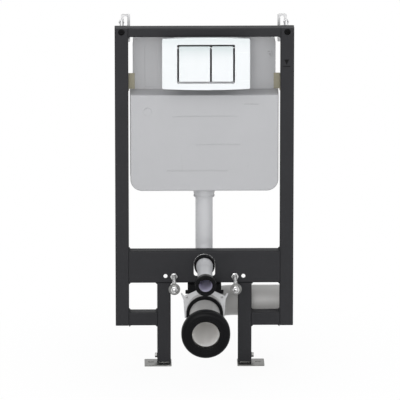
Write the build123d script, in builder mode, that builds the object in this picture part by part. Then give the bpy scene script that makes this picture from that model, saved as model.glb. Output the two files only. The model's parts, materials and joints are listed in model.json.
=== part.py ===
from build123d import *
from math import cos, radians, sin
import os

# Wall hung toilet frame: a welded tube frame on two telescopic feet, with a cistern,
# a flush plate, a flush pipe, a waste bend turned to the right and two pan studs.
# Millimetres. +Z is up, the pan side faces -Y, and Y = 0 is the frame's front face.
# The origin is on the sole of the left foot, under the frame's front face.

os.makedirs("parts", exist_ok=True)

# Frame tubes
tube = 40.0
tube_wall = 2.0
tube_corner = 4.0
cut_over = 1.0
opening_width = 445.0
frame_top = 1019.0
top_rail_height = 26.5
lower_rail_z = 118.0
leg_spacing = 239.0
leg_end_z = 6.0
rod_hole_r = 9.3
rod_drop = 11.5
rod_front = 16.0

# Crossbar that carries the pan
crossbar_z = 248.5
crossbar_height = 97.0
crossbar_sheet = 3.0
crossbar_bend = 5.0
stud_spacing = 180.0
spare_spacing = 230.0
spare_hole_r = 6.5
stud_z = 270.0
flush_above_studs = 35.0
waste_below_studs = 100.0
arch_r = 31.3
arch_height = 67.0
arch_corner = 7.0

# Feet
foot_width = 80.0
foot_front = 27.0
foot_depth = 67.0
foot_plate = 4.0
foot_corner = 3.0
foot_inboard = 2.0
foot_tube_play = 0.8
foot_tube_wall = 2.0
foot_tube_top = 236.0
foot_slot_width = 11.0
foot_slot_length = 18.0
foot_slot_inset = 19.0
foot_slot_y = 8.0

# Clamp bolts that hold the feet
clamp_bolt_z = 22.0
clamp_bolt_r = 4.0
clamp_head_r = 7.0
clamp_head = 7.0
clamp_end_gap = 0.3

# Wall fixing
wall_y = 145.0
wall_plate_width = 27.0
wall_plate_rise = 12.0
wall_plate_inset = 12.0
wall_plate_height = 84.0
wall_plate_sheet = 4.0
wall_plate_corner = 4.0
wall_slot_r = 5.25
wall_slot_rim = 6.0
wall_slot_length = 34.0
rod_r = 5.0
rod_nut_r = 8.5
rod_nut = 8.0

# Cistern
tank_side_gap = 5.0
tank_front = 3.0
tank_back = 135.0
tank_bottom = 528.0
tank_ledge_z = 818.0
tank_ledge_rise = 8.0
tank_setback = 48.0
tank_top = 984.0
tank_step = 8.5
tank_bottom_r = 34.5
tank_top_r = 24.0
tank_wall = 3.5
tank_edge = 4.0
band_inner = 137.0
band_width = 37.0
band_depth = 1.5
band_corner = 6.0
rib_width = 3.0
rib_depth = 0.8
ribs = [(1.0, 754.0, 191.0), (40.0, 669.0, 130.0), (-21.0, 590.0, 178.0), (138.0, 791.0, 45.0)]
boss_x = -166.5
boss_z = 768.0
boss_r = 11.8
boss_rise = 1.2
plug_x = 193.0
plug_z = 932.0
plug_r = 6.5
plug_rise = 4.0
plug_hole_r = 2.5

# Clips between the cistern and the uprights
clip_rise = 1.0
clip_height = 47.0
clip_sheet = 2.0
clip_lap = 5.0
clip_depth = 28.0

# Service box and flush plate
plate_z = 923.5
plate_shift = 4.0
plate_width = 257.0
plate_height = 156.0
plate_depth = 13.0
plate_front = -52.0
plate_sheet = 2.5
plate_corner = 4.0
plate_bow = 3.5
plate_edge = 2.0
window_width = 168.5
window_height = 116.0
window_corner = 3.0
window_rim = 2.5
button_gap = 5.3
button_large_width = 90.5
button_depth = 4.0
button_recess = 1.5
button_sheet = 2.0
button_round = 1.2
hinge_r = 1.6
hinge_play = 0.1
hinge_drop = 6.0
hinge_back = 3.6
hinge_barrel_r = 3.4
box_width = 196.0
box_height = 116.0
box_wall = 3.0
box_corner = 8.0

# Flush pipe
flush_y = 75.0
flush_r = 25.5
flush_wall = 2.5
flush_bend_r = 52.0
flush_top_in = 14.0
flush_socket_y = -16.0
nut_r = 32.0
nut_height = 33.0
nut_lip = 4.0
nut_lip_r = 31.0
nut_neck_r = 29.5
nut_play = 0.3
spigot_r = 22.0
spigot_wall = 2.0
spigot_y = -231.0
spigot_depth = 40.0
clip_ring_r = 31.0
clip_ring_y = 1.0
clip_ring_depth = 12.0
clip_ring_open = 108.0

# Seals at the pan
flush_seal_r = 31.0
flush_seal_bore_r = 19.8
flush_seal_front = -240.0
flush_seal_back = -214.0
flush_seal_round = 6.0
flush_seal_edge = 2.5
waste_seal_r = 71.5
waste_seal_bore_r = 40.0
waste_seal_front = -292.0
waste_seal_back = -256.0
waste_seal_round = 14.0
waste_seal_back_round = 8.0
waste_seal_edge = 3.0

# Waste
waste_r = 45.0
waste_wall = 3.5
bend_r = 95.0
bend_end_x = 246.0
socket_r = 52.0
socket_front = -56.0
socket_back = -4.0
waste_play = 0.3
seal_ring_r = 54.5
seal_ring = 11.0
connector_front = -268.0
connector_in = 44.0

# Hanger and bracket round the waste bend
hanger_half = 49.5
hanger_drop = 31.0
hanger_front = -21.0
hanger_back = 14.0
hanger_lobe_r = 6.0
hanger_saddle_r = 60.0
hanger_pin_r = 4.5
hanger_pin_half = 56.0
hanger_pin_y = -10.0
hanger_pin_z = 224.0
saddle_gap = 0.6
bracket_bottom = 147.0
bracket_foot_half = 58.5
bracket_foot_round = 2.5
bracket_half = 62.5
bracket_side_z = 205.0
bracket_ear_half = 70.0
bracket_ear_z = 222.0
bracket_ear = 2.5
bracket_neck_half = 60.0
bracket_neck_z = 215.0
bracket_slope_half = 26.0
bracket_slope_z = 231.0
bracket_top = 237.0
bracket_sheet = 3.0
bracket_boss_half = 52.5
bracket_boss_z = 212.0
bracket_boss_r = 3.5
bracket_boss = 2.0

# Pan studs
stud_r = 6.0
stud_front = -160.0
stud_back = 18.0
stud_nut_flats = 19.0
stud_nut = 10.0
washer_r = 17.0
washer_bore_r = 6.3
washer = 3.0
pan_washer_y = -146.0

# Places worked out from the sizes above
foot_inner_x = leg_spacing / 2 - tube / 2 - foot_inboard
mid_x = foot_inner_x + foot_width / 2
upright_x = opening_width / 2 + tube / 2
leg_x = leg_spacing / 2
flush_z = stud_z + flush_above_studs
waste_z = stud_z - waste_below_studs
arch_mid_z = stud_z + arch_height - arch_r
saddle_r = socket_r + saddle_gap
tube_mid_y = tube / 2
rod_z = frame_top - rod_drop
wall_plate_top = frame_top + wall_plate_rise
clip_z = tank_ledge_z + tank_ledge_rise + clip_rise
sides = {"left": -1, "right": 1}


def level(z):
    """A plane at height z, with its origin on the frame's centre line."""
    return Plane(origin=(mid_x, 0, z), x_dir=(1, 0, 0), z_dir=(0, 0, 1))


def facing(y):
    """An upright plane at depth y that faces the pan: local x to the right, local y up."""
    return Plane(origin=(mid_x, y, 0), x_dir=(1, 0, 0), z_dir=(0, -1, 0))


def across(x):
    """An upright plane at x from the centre line, facing right: local x back, local y up."""
    return Plane(origin=(mid_x + x, 0, 0), x_dir=(0, 1, 0), z_dir=(1, 0, 0))


def save(solid, name):
    """Label a finished piece and write it under its own name."""
    solid.label = name
    export_step(solid, f"parts/{name}.step")


def tube_section(width, depth, wall, corner):
    """The rounded section of a box tube, drawn in the open sketch."""
    RectangleRounded(width, depth, corner)
    RectangleRounded(width - 2 * wall, depth - 2 * wall, max(corner - wall, 0.5), mode=Mode.SUBTRACT)


# Uprights, with the hole in front of each wall rod
for side, sign in sides.items():
    with BuildPart() as upright:
        with BuildSketch(level(lower_rail_z)):
            with Locations((sign * upright_x, tube_mid_y)):
                tube_section(tube, tube, tube_wall, tube_corner)
        extrude(amount=frame_top - lower_rail_z)
        with BuildSketch(level(frame_top - tube_wall)):
            with Locations((sign * upright_x, tube_mid_y)):
                RectangleRounded(tube, tube, tube_corner)
        extrude(amount=tube_wall)
        with BuildSketch(facing(-cut_over)):
            with Locations((sign * upright_x, rod_z)):
                Circle(rod_hole_r)
        extrude(amount=-(tube_wall + 2 * cut_over), mode=Mode.SUBTRACT)
        with BuildSketch(facing(tube - tube_wall - cut_over)):
            with Locations((sign * upright_x, rod_z)):
                Circle(rod_r)
        extrude(amount=-(tube_wall + 2 * cut_over), mode=Mode.SUBTRACT)
    save(upright.part, f"upright_{side}")

# Top rail
with BuildPart() as top_rail:
    with BuildSketch(across(-opening_width / 2)):
        with Locations((tube_mid_y, frame_top - top_rail_height / 2)):
            tube_section(tube, top_rail_height, tube_wall, tube_corner)
    extrude(amount=opening_width)
save(top_rail.part, "top_rail")

# Crossbar: a folded channel, open to the back, with the arch for the flush pipe
with BuildPart() as crossbar:
    with BuildSketch(across(-opening_width / 2)):
        with Locations((tube_mid_y, crossbar_z + crossbar_height / 2)):
            tube_section(tube, crossbar_height, crossbar_sheet, crossbar_bend)
        with Locations((tube + tube_mid_y - crossbar_bend, crossbar_z + crossbar_height / 2)):
            Rectangle(tube, crossbar_height, mode=Mode.SUBTRACT)
    extrude(amount=opening_width)
    with BuildSketch(facing(-cut_over)) as face_holes:
        with BuildLine():
            ThreePointArc((arch_r, arch_mid_z), (0, arch_mid_z + arch_r), (-arch_r, arch_mid_z))
            Line((-arch_r, arch_mid_z), (-arch_r, stud_z))
            Line((-arch_r, stud_z), (arch_r, stud_z))
            Line((arch_r, stud_z), (arch_r, arch_mid_z))
        make_face()
        fillet(face_holes.vertices().group_by(Axis.Y)[0], arch_corner)
        with Locations((-stud_spacing / 2, stud_z), (stud_spacing / 2, stud_z)):
            Circle(stud_r)
        with Locations((-spare_spacing / 2, stud_z), (spare_spacing / 2, stud_z)):
            Circle(spare_hole_r)
    extrude(amount=-(crossbar_sheet + 2 * cut_over), mode=Mode.SUBTRACT)
save(crossbar.part, "crossbar")

# Lower rails, from the uprights to the legs
for side, sign in sides.items():
    rail_inner = leg_x + tube / 2
    rail_length = opening_width / 2 - rail_inner
    rail_start = rail_inner if sign > 0 else -opening_width / 2
    with BuildPart() as lower_rail:
        with BuildSketch(across(rail_start)):
            with Locations((tube_mid_y, lower_rail_z + tube / 2)):
                tube_section(tube, tube, tube_wall, tube_corner)
        extrude(amount=rail_length)
    save(lower_rail.part, f"lower_rail_{side}")

# Legs, from the crossbar down to the feet
for side, sign in sides.items():
    with BuildPart() as leg:
        with BuildSketch(level(leg_end_z)):
            with Locations((sign * leg_x, tube_mid_y)):
                tube_section(tube, tube, tube_wall, tube_corner)
        extrude(amount=crossbar_z - leg_end_z)
        with BuildSketch(across(sign * (leg_x + tube / 2 - tube_wall - cut_over))):
            with Locations((tube_mid_y, clamp_bolt_z)):
                Circle(clamp_bolt_r)
        extrude(amount=sign * (tube_wall + 2 * cut_over), mode=Mode.SUBTRACT)
    save(leg.part, f"leg_{side}")

# Feet: a slotted plate with the inner tube that slides in the leg
foot_tube = tube - 2 * (tube_wall + foot_tube_play)
for side, sign in sides.items():
    plate_x = sign * mid_x
    slot_x = sign * (foot_inner_x + foot_width - foot_slot_inset)
    with BuildPart() as foot:
        with BuildSketch(level(0)):
            with Locations((plate_x, foot_depth / 2 - foot_front)):
                RectangleRounded(foot_width, foot_depth, foot_corner)
            with Locations((slot_x, foot_slot_y)):
                SlotOverall(foot_slot_length, foot_slot_width, mode=Mode.SUBTRACT)
        extrude(amount=foot_plate)
        with BuildSketch(level(foot_plate)):
            with Locations((sign * leg_x, tube_mid_y)):
                tube_section(foot_tube, foot_tube, foot_tube_wall, tube_corner - 1)
        extrude(amount=foot_tube_top - foot_plate)
    save(foot.part, f"foot_{side}")

# Clamp bolts through the outer walls of the legs
for side, sign in sides.items():
    leg_face = leg_x + tube / 2
    bolt_tip = leg_x + foot_tube / 2 + clamp_end_gap
    with BuildPart() as clamp_bolt:
        with BuildSketch(across(sign * leg_face)):
            with Locations((tube_mid_y, clamp_bolt_z)):
                RegularPolygon(clamp_head_r, 6)
        extrude(amount=sign * clamp_head)
        with BuildSketch(across(sign * bolt_tip)):
            with Locations((tube_mid_y, clamp_bolt_z)):
                Circle(clamp_bolt_r)
        extrude(amount=sign * (leg_face - bolt_tip))
    save(clamp_bolt.part, f"clamp_bolt_{side}")

# Wall plates with a long slot at the top, on the back of the wall rods
for side, sign in sides.items():
    plate_mid_z = wall_plate_top - wall_plate_height / 2
    slot_mid_z = wall_plate_top - wall_slot_rim - wall_slot_length / 2
    wall_plate_x = sign * (upright_x - wall_plate_inset)
    with BuildPart() as wall_plate:
        with BuildSketch(facing(wall_y)):
            with Locations((wall_plate_x, plate_mid_z)):
                RectangleRounded(wall_plate_width, wall_plate_height, wall_plate_corner)
            with Locations((wall_plate_x, slot_mid_z)):
                SlotOverall(wall_slot_length, 2 * wall_slot_r, rotation=90, mode=Mode.SUBTRACT)
        extrude(amount=wall_plate_sheet)
    save(wall_plate.part, f"wall_plate_{side}")

# Wall rods: threaded rod from the upright to the wall plate, with a head and a nut
for side, sign in sides.items():
    plate_face = wall_y - wall_plate_sheet
    with BuildPart() as wall_rod:
        with BuildSketch(facing(plate_face)):
            with Locations((sign * upright_x, rod_z)):
                Circle(rod_r)
        extrude(amount=plate_face - rod_front)
        with BuildSketch(facing(tube + rod_nut)):
            with Locations((sign * upright_x, rod_z)):
                RegularPolygon(rod_nut_r, 6)
        extrude(amount=rod_nut)
        with BuildSketch(facing(plate_face)):
            with Locations((sign * upright_x, rod_z)):
                RegularPolygon(rod_nut_r, 6)
        extrude(amount=rod_nut)
    save(wall_rod.part, f"wall_rod_{side}")


def tank_form(inset):
    """The cistern's outside, or its inside when drawn in by the wall."""
    half_low = opening_width / 2 - tank_side_gap - inset
    half_high = half_low - tank_step
    low = tank_bottom + inset
    high = tank_top - inset
    ledge = tank_ledge_z - inset
    shoulder = ledge + tank_ledge_rise
    front = tank_front + inset
    back = tank_back - inset
    upper_front = tank_front + tank_setback + inset
    with BuildPart() as form:
        with BuildSketch(across(-half_low)):
            with BuildLine():
                Polyline(
                    (front, low),
                    (back, low),
                    (back, high),
                    (upper_front, high),
                    (upper_front, shoulder),
                    (front, ledge),
                    close=True,
                )
            make_face()
        extrude(amount=2 * half_low)
        with BuildSketch(facing(back)) as outline:
            with Locations((0, (low + shoulder) / 2)):
                Rectangle(2 * half_low, shoulder - low)
            with Locations((0, (shoulder + high) / 2)):
                Rectangle(2 * half_high, high - shoulder)
            fillet(outline.vertices().group_by(Axis.Y)[0], tank_bottom_r - inset)
            fillet(outline.vertices().group_by(Axis.Y)[-1], tank_top_r - inset)
        extrude(amount=back - front, mode=Mode.INTERSECT)
        fillet(form.faces().sort_by(Axis.Y)[0].outer_wire().edges(), tank_edge)
    return form.part


# Cistern: a closed moulded shell with the service opening and the outlet
tank_room = tank_form(tank_wall)
tank_face = tank_front + tank_setback
band_bottom = tank_ledge_z + tank_ledge_rise + band_corner
band_top = tank_top - tank_top_r
with BuildPart() as cistern_tank:
    add(tank_form(0))
    add(tank_room, mode=Mode.SUBTRACT)
    with BuildSketch(facing(tank_face - cut_over)):
        with Locations((plate_shift, plate_z)):
            RectangleRounded(box_width - 2 * box_wall, box_height - 2 * box_wall, box_corner - box_wall)
    extrude(amount=-(tank_wall + 2 * cut_over), mode=Mode.SUBTRACT)
    with BuildSketch(level(tank_bottom - cut_over)):
        with Locations((0, flush_y)):
            Circle(flush_r + nut_play)
    extrude(amount=tank_wall + 2 * cut_over, mode=Mode.SUBTRACT)
    # Shallow band beside the service box, and the long ribs pressed in below the ledge
    with BuildSketch(facing(tank_face - cut_over)):
        with Locations((-band_inner - band_width / 2, (band_bottom + band_top) / 2)):
            RectangleRounded(band_width, band_top - band_bottom, band_corner)
    extrude(amount=-(band_depth + cut_over), mode=Mode.SUBTRACT)
    with BuildSketch(facing(tank_front - cut_over)):
        for rib_x, rib_z, rib_length in ribs:
            with Locations((rib_x, rib_z)):
                SlotOverall(rib_length, rib_width)
    extrude(amount=-(rib_depth + cut_over), mode=Mode.SUBTRACT)
    # Round boss at the upper left, and the stub of the closed water inlet at the upper right
    with BuildSketch(facing(tank_front)):
        with Locations((boss_x, boss_z)):
            Circle(boss_r)
    extrude(amount=boss_rise)
    with BuildSketch(facing(tank_face)):
        with Locations((plug_x, plug_z)):
            Circle(plug_r)
    extrude(amount=plug_rise)
    with BuildSketch(facing(tank_face - plug_rise)):
        with Locations((plug_x, plug_z)):
            Circle(plug_hole_r)
    extrude(amount=-plug_rise, mode=Mode.SUBTRACT)
save(cistern_tank.part, "cistern_tank")

# Clips that hold the cistern's sides to the uprights
for side, sign in sides.items():
    clip_outer = opening_width / 2
    clip_inner = opening_width / 2 - tank_side_gap - tank_step - clip_lap
    with BuildPart() as tank_clip:
        with BuildSketch(facing(tank_face)):
            with Locations((sign * (clip_outer + clip_inner) / 2, clip_z + clip_height / 2)):
                Rectangle(clip_outer - clip_inner, clip_height)
        extrude(amount=clip_sheet)
        with BuildSketch(facing(tank_face)):
            with Locations((sign * (clip_outer - clip_sheet / 2), clip_z + clip_height / 2)):
                Rectangle(clip_sheet, clip_height)
        extrude(amount=clip_depth)
    save(tank_clip.part, f"tank_clip_{side}")

# Service box between the cistern and the flush plate
plate_back = plate_front + plate_depth
with BuildPart() as service_box:
    with BuildSketch(facing(tank_face)):
        with Locations((plate_shift, plate_z)):
            RectangleRounded(box_width, box_height, box_corner)
            RectangleRounded(
                box_width - 2 * box_wall, box_height - 2 * box_wall, box_corner - box_wall, mode=Mode.SUBTRACT
            )
    extrude(amount=tank_face - plate_back)
save(service_box.part, "service_box")

# Flush plate: a shallow tray, bowed at the top and bottom, with a rimmed window
window_left = plate_shift - window_width / 2
window_right = plate_shift + window_width / 2
plate_left = plate_shift - plate_width / 2
plate_right = plate_shift + plate_width / 2
hinge_z = plate_z + window_height / 2 - button_gap - hinge_drop
hinge_y = plate_front + button_recess + button_depth + hinge_back


with BuildPart() as flush_plate:
    for inset, depth, mode in ((0, plate_depth, Mode.ADD), (plate_sheet, plate_depth - plate_sheet, Mode.SUBTRACT)):
        left = plate_left + inset
        right = plate_right - inset
        high = plate_z + plate_height / 2 - inset
        low = plate_z - plate_height / 2 + inset
        with BuildSketch(facing(plate_back)) as tray:
            with BuildLine():
                ThreePointArc((right, high - plate_bow), (plate_shift, high), (left, high - plate_bow))
                Line((left, high - plate_bow), (left, low + plate_bow))
                ThreePointArc((left, low + plate_bow), (plate_shift, low), (right, low + plate_bow))
                Line((right, low + plate_bow), (right, high - plate_bow))
            make_face()
            fillet(tray.vertices(), plate_corner - inset / 2)
        extrude(amount=depth, mode=mode)
        if mode == Mode.ADD:
            fillet(flush_plate.faces().sort_by(Axis.Y)[0].outer_wire().edges(), plate_edge)
    with BuildSketch(facing(plate_back)):
        with Locations((plate_shift, plate_z)):
            RectangleRounded(window_width + 2 * window_rim, window_height + 2 * window_rim, window_corner + window_rim)
    extrude(amount=plate_depth - plate_sheet / 2)
    with BuildSketch(facing(plate_back + cut_over)):
        with Locations((plate_shift, plate_z)):
            RectangleRounded(window_width, window_height, window_corner)
    extrude(amount=plate_depth + 2 * cut_over, mode=Mode.SUBTRACT)
    with BuildSketch(across(window_left - window_rim - cut_over)):
        with Locations((hinge_y, hinge_z)):
            Circle(hinge_r)
    extrude(amount=window_width + 2 * (window_rim + cut_over), mode=Mode.SUBTRACT)
save(flush_plate.part, "flush_plate")

# Hinge pin across the window, and the two buttons that turn on it
with BuildPart() as hinge_pin:
    with BuildSketch(across(window_left - window_rim)):
        with Locations((hinge_y, hinge_z)):
            Circle(hinge_r)
    extrude(amount=window_width + 2 * window_rim)
save(hinge_pin.part, "hinge_pin")

button_top = plate_z + window_height / 2 - button_gap
button_bottom = plate_z - window_height / 2 + button_gap
button_face = plate_front + button_recess
large_left = window_left + button_gap
small_left = large_left + button_large_width + button_gap
small_width = window_right - button_gap - small_left
buttons = {"button_large": (large_left, button_large_width), "button_small": (small_left, small_width)}

for name, (start, width) in buttons.items():
    with BuildPart() as button:
        with BuildSketch(facing(button_face + button_depth)):
            with Locations((start + width / 2, (button_top + button_bottom) / 2)):
                RectangleRounded(width, button_top - button_bottom, window_corner)
        extrude(amount=button_depth)
        fillet(button.faces().sort_by(Axis.Y)[0].edges(), button_round)
        with BuildSketch(facing(button_face + button_depth)):
            with Locations((start + width / 2, (button_top + button_bottom) / 2)):
                RectangleRounded(
                    width - 2 * button_sheet, button_top - button_bottom - 2 * button_sheet, window_corner / 2
                )
        extrude(amount=button_depth - button_sheet, mode=Mode.SUBTRACT)
        with BuildSketch(across(start)):
            with Locations((hinge_y, hinge_z)):
                Circle(hinge_barrel_r)
            with Locations(((hinge_y + button_face + button_sheet) / 2, hinge_z)):
                Rectangle(hinge_y - button_face - button_sheet, 2 * hinge_barrel_r)
            with Locations((hinge_y, hinge_z)):
                Circle(hinge_r + hinge_play, mode=Mode.SUBTRACT)
        extrude(amount=width)
    save(button.part, name)

# Outlet nut under the cistern
with BuildPart() as outlet_nut:
    with BuildSketch(level(tank_bottom - nut_height)):
        with Locations((0, flush_y)):
            Circle(nut_lip_r)
    extrude(amount=nut_lip)
    with BuildSketch(level(tank_bottom - nut_height + nut_lip)):
        with Locations((0, flush_y)):
            Circle(nut_neck_r)
    with BuildSketch(level(tank_bottom - nut_height / 2)):
        with Locations((0, flush_y)):
            Circle(nut_r)
    loft()
    with BuildSketch(level(tank_bottom - nut_height / 2)):
        with Locations((0, flush_y)):
            Circle(nut_r)
    extrude(amount=nut_height / 2)
    with BuildSketch(level(tank_bottom - nut_height)):
        with Locations((0, flush_y)):
            Circle(flush_r + nut_play)
    extrude(amount=nut_height, mode=Mode.SUBTRACT)
save(outlet_nut.part, "outlet_nut")

# Flush pipe: down from the cistern, then forward through the arch
with BuildPart() as flush_pipe:
    with BuildLine(across(0)) as flush_path:
        drop = Line((flush_y, tank_bottom + flush_top_in), (flush_y, flush_z + flush_bend_r))
        turn = RadiusArc(drop @ 1, (flush_y - flush_bend_r, flush_z), flush_bend_r)
        Line(turn @ 1, (flush_socket_y, flush_z))
    with BuildSketch(level(tank_bottom + flush_top_in)):
        with Locations((0, flush_y)):
            Circle(flush_r)
            Circle(flush_r - flush_wall, mode=Mode.SUBTRACT)
    sweep(path=flush_path.line)
save(flush_pipe.part, "flush_pipe")

# Clip round the flush pipe behind the arch, open below
with BuildPart() as pipe_clip:
    with BuildSketch(facing(clip_ring_y + clip_ring_depth)):
        with Locations((0, flush_z)):
            Circle(clip_ring_r)
            Circle(flush_r, mode=Mode.SUBTRACT)
        with BuildLine():
            spread = radians(clip_ring_open / 2)
            Polyline(
                (0, flush_z),
                (-2 * clip_ring_r * sin(spread), flush_z - 2 * clip_ring_r * cos(spread)),
                (2 * clip_ring_r * sin(spread), flush_z - 2 * clip_ring_r * cos(spread)),
                close=True,
            )
        make_face(mode=Mode.SUBTRACT)
    extrude(amount=clip_ring_depth)
save(pipe_clip.part, "pipe_clip")

# Flush connector and its rubber seal
with BuildPart() as flush_connector:
    with BuildSketch(facing(flush_socket_y + spigot_depth)):
        with Locations((0, flush_z)):
            Circle(spigot_r)
            Circle(spigot_r - spigot_wall, mode=Mode.SUBTRACT)
    extrude(amount=flush_socket_y + spigot_depth - spigot_y)
save(flush_connector.part, "flush_connector")

with BuildPart() as flush_seal:
    with BuildSketch(facing(flush_seal_back)):
        with Locations((0, flush_z)):
            Circle(flush_seal_r)
    extrude(amount=flush_seal_back - flush_seal_front)
    fillet(flush_seal.edges().group_by(Axis.Y)[0], flush_seal_edge)
    fillet(flush_seal.edges().group_by(Axis.Y)[-1], flush_seal_round)
    with BuildSketch(facing(flush_seal_back)):
        with Locations((0, flush_z)):
            Circle(flush_seal_bore_r)
    extrude(amount=flush_seal_back - flush_seal_front, mode=Mode.SUBTRACT)
    with BuildSketch(facing(flush_seal_back)):
        with Locations((0, flush_z)):
            Circle(spigot_r)
    extrude(amount=flush_seal_back - spigot_y, mode=Mode.SUBTRACT)
save(flush_seal.part, "flush_seal")

# Waste bend: a front socket, the quarter bend and the run to the right
with BuildPart() as waste_bend:
    with BuildLine(Plane(origin=(mid_x, 0, waste_z), x_dir=(1, 0, 0), z_dir=(0, 0, 1))) as waste_path:
        start = Line((0, socket_back - 2), (0, 0))
        quarter = RadiusArc(start @ 1, (bend_r, bend_r), bend_r)
        Line(quarter @ 1, (bend_end_x, bend_r))
    with BuildSketch(facing(socket_back - 2)):
        with Locations((0, waste_z)):
            Circle(waste_r)
            Circle(waste_r - waste_wall, mode=Mode.SUBTRACT)
    sweep(path=waste_path.line)
    with BuildSketch(facing(socket_back)):
        with Locations((0, waste_z)):
            Circle(socket_r)
            Circle(waste_r - waste_wall, mode=Mode.SUBTRACT)
    extrude(amount=socket_back - socket_front)
    with BuildSketch(facing(socket_front + connector_in)):
        with Locations((0, waste_z)):
            Circle(waste_r + waste_play)
    extrude(amount=connector_in, mode=Mode.SUBTRACT)
save(waste_bend.part, "waste_bend")

# Seal ring on the socket's mouth
with BuildPart() as bend_seal:
    with BuildSketch(facing(socket_front)):
        with Locations((0, waste_z)):
            Circle(seal_ring_r)
            Circle(waste_r + waste_play, mode=Mode.SUBTRACT)
    extrude(amount=seal_ring)
    fillet(bend_seal.faces().sort_by(Axis.Y)[0].outer_wire().edges(), 2.0)
save(bend_seal.part, "bend_seal")

# Waste connector and its rubber seal
with BuildPart() as waste_connector:
    with BuildSketch(facing(socket_front + connector_in - 1)):
        with Locations((0, waste_z)):
            Circle(waste_r)
            Circle(waste_r - waste_wall, mode=Mode.SUBTRACT)
    extrude(amount=socket_front + connector_in - 1 - connector_front)
save(waste_connector.part, "waste_connector")

with BuildPart() as waste_seal:
    with BuildSketch(facing(waste_seal_back)):
        with Locations((0, waste_z)):
            Circle(waste_seal_r)
    extrude(amount=waste_seal_back - waste_seal_front)
    fillet(waste_seal.edges().group_by(Axis.Y)[0], waste_seal_round)
    fillet(waste_seal.edges().group_by(Axis.Y)[-1], waste_seal_back_round)
    with BuildSketch(facing(waste_seal_back)):
        with Locations((0, waste_z)):
            Circle(waste_seal_bore_r)
    extrude(amount=waste_seal_back - waste_seal_front, mode=Mode.SUBTRACT)
    with BuildSketch(facing(waste_seal_back)):
        with Locations((0, waste_z)):
            Circle(waste_r)
    extrude(amount=waste_seal_back - connector_front, mode=Mode.SUBTRACT)
    fillet(waste_seal.faces().sort_by(Axis.Y)[0].inner_wires()[0].edges(), waste_seal_edge)
save(waste_seal.part, "waste_seal")

# Hanger under the crossbar: a block with two lobes over the socket and a pin at each side
with BuildPart() as bend_hanger:
    with BuildSketch(facing(hanger_back)) as hanger_face:
        with Locations((0, crossbar_z - hanger_drop / 2)):
            Rectangle(2 * hanger_half, hanger_drop)
        with Locations((0, waste_z)):
            Circle(hanger_saddle_r, mode=Mode.SUBTRACT)
        fillet(hanger_face.vertices().group_by(Axis.Y)[0], hanger_lobe_r)
    extrude(amount=hanger_back - hanger_front)
    with BuildSketch(across(-hanger_pin_half)):
        with Locations((hanger_pin_y, hanger_pin_z)):
            Circle(hanger_pin_r)
    extrude(amount=hanger_pin_half - hanger_half + hanger_lobe_r)
    with BuildSketch(across(hanger_pin_half)):
        with Locations((hanger_pin_y, hanger_pin_z)):
            Circle(hanger_pin_r)
    extrude(amount=hanger_half - hanger_pin_half - hanger_lobe_r)
save(bend_hanger.part, "bend_hanger")

# Arched bracket in front of the hanger, over the socket, with a thin ear at each shoulder
with BuildPart() as bend_bracket:
    with BuildSketch(facing(hanger_front)) as bracket_face:
        for sign in sides.values():
            with BuildLine():
                Polyline(
                    (0, bracket_bottom),
                    (sign * bracket_foot_half, bracket_bottom),
                    (sign * bracket_half, bracket_side_z),
                    (sign * bracket_ear_half, bracket_ear_z),
                    (sign * (bracket_ear_half - bracket_ear), bracket_ear_z + bracket_ear),
                    (sign * bracket_neck_half, bracket_neck_z),
                    (sign * bracket_slope_half, bracket_slope_z),
                    (0, bracket_top),
                    close=True,
                )
            make_face()
        with Locations((0, waste_z)):
            Circle(saddle_r, mode=Mode.SUBTRACT)
        with Locations((0, waste_z - socket_r)):
            Rectangle(2 * saddle_r, 2 * socket_r, mode=Mode.SUBTRACT)
        fillet(bracket_face.vertices().group_by(Axis.Y)[0], bracket_foot_round)
    extrude(amount=bracket_sheet)
    with BuildSketch(facing(hanger_front - bracket_sheet)):
        with Locations((-bracket_boss_half, bracket_boss_z), (bracket_boss_half, bracket_boss_z)):
            Circle(bracket_boss_r)
    extrude(amount=bracket_boss)
save(bend_bracket.part, "bend_bracket")

# Pan studs with their nuts and washers
for side, sign in sides.items():
    stud_x = sign * stud_spacing / 2
    with BuildPart() as stud:
        with BuildSketch(facing(stud_back)):
            with Locations((stud_x, stud_z)):
                Circle(stud_r)
        extrude(amount=stud_back - stud_front)
        with BuildSketch(facing(crossbar_sheet + stud_nut)):
            with Locations((stud_x, stud_z)):
                RegularPolygon(stud_nut_flats / 2, 6, major_radius=False)
        extrude(amount=stud_nut)
    save(stud.part, f"stud_{side}")
    places = {
        "stud_nut": (0, stud_nut, "hex", stud_r),
        "pan_washer": (pan_washer_y, washer, "round", washer_bore_r),
        "pan_nut": (pan_washer_y - washer, stud_nut, "hex", stud_r),
    }
    for name, (back, depth, form, bore_r) in places.items():
        with BuildPart() as fastener:
            with BuildSketch(facing(back)):
                with Locations((stud_x, stud_z)):
                    if form == "hex":
                        RegularPolygon(stud_nut_flats / 2, 6, major_radius=False)
                    else:
                        Circle(washer_r)
                    Circle(bore_r, mode=Mode.SUBTRACT)
            extrude(amount=depth)
        save(fastener.part, f"{name}_{side}")
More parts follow.
